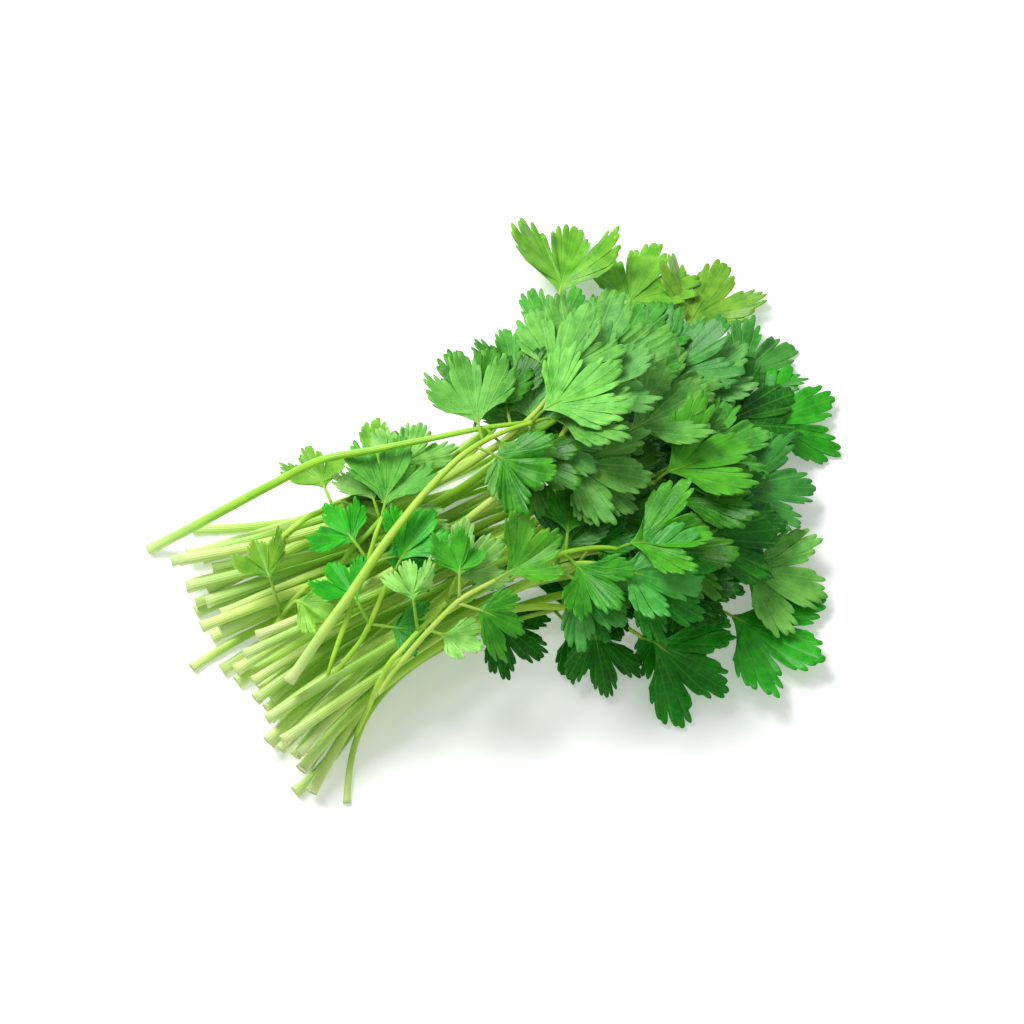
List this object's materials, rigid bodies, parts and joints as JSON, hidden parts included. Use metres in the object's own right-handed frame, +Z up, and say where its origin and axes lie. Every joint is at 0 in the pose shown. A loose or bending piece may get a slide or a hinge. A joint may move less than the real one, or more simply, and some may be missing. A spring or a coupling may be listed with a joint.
{
  "type": "coriander bunch",
  "caption": "Bunch of fresh coriander lying on a table: lobed green leaves heaped at one end, pale green stems gathered at the waist and fanned out at their cut ends.",
  "frame": {"origin": "centre of the bunch's footprint on the table", "axes": "+Z up from the table, +X along the bunch from the cut ends to the leaves"},
  "size_m": [0.2958, 0.2397, 0.0847],
  "materials": {
    "leafy_stem": "satin, fresh leaf",
    "young_leafy_stem": "satin, paler young leaf",
    "bare_stem": "satin, fresh stem"
  },
  "bodies": {
    "root": {"edge_stem_upper": "leafy_stem", "edge_stem_stub": "leafy_stem", "edge_stem_low_left": "leafy_stem", "edge_stem_hooked": "leafy_stem", "edge_stem_thin": "leafy_stem", "bare_stem_1": "bare_stem", "bare_stem_2": "bare_stem", "bare_stem_3": "bare_stem", "bare_stem_4": "bare_stem", "bare_stem_5": "bare_stem", "bare_stem_6": "bare_stem", "bare_stem_7": "bare_stem", "bare_stem_8": "bare_stem", "showy_stem_upper_right": "leafy_stem", "showy_stem_right_high": "leafy_stem", "showy_stem_right_tip": "leafy_stem", "showy_stem_upper_middle": "leafy_stem", "showy_stem_low_right": "leafy_stem", "showy_stem_right_low": "leafy_stem", "showy_stem_upper_sprig": "leafy_stem", "leafy_stem_18": "leafy_stem", "leafy_stem_10": "leafy_stem", "leafy_stem_05": "leafy_stem", "showy_stem_blue_green": "leafy_stem", "leafy_stem_11": "leafy_stem", "leafy_stem_03": "leafy_stem", "showy_stem_low_middle": "leafy_stem", "leafy_stem_16": "leafy_stem", "leafy_stem_13": "leafy_stem", "leafy_stem_08": "leafy_stem", "leafy_stem_19": "leafy_stem", "leafy_stem_09": "leafy_stem", "leafy_stem_17": "leafy_stem", "leafy_stem_04": "leafy_stem", "showy_stem_middle": "leafy_stem", "leafy_stem_21": "leafy_stem", "leafy_stem_01": "leafy_stem", "leafy_stem_06": "leafy_stem", "leafy_stem_15": "leafy_stem", "leafy_stem_02": "leafy_stem", "leafy_stem_12": "leafy_stem", "leafy_stem_14": "leafy_stem", "showy_stem_big_pale": "leafy_stem", "leafy_stem_20": "leafy_stem", "leafy_stem_07": "leafy_stem", "young_stem_left_back": "young_leafy_stem", "young_stem_left_high": "young_leafy_stem", "young_stem_pale_pair": "young_leafy_stem", "young_stem_left_front": "young_leafy_stem", "young_stem_dark_curl": "young_leafy_stem", "young_stem_front": "young_leafy_stem", "young_stem_front_low": "young_leafy_stem", "showy_stem_pale_bow": "leafy_stem", "showy_stem_bent": "leafy_stem"}
  },
  "joints": []
}
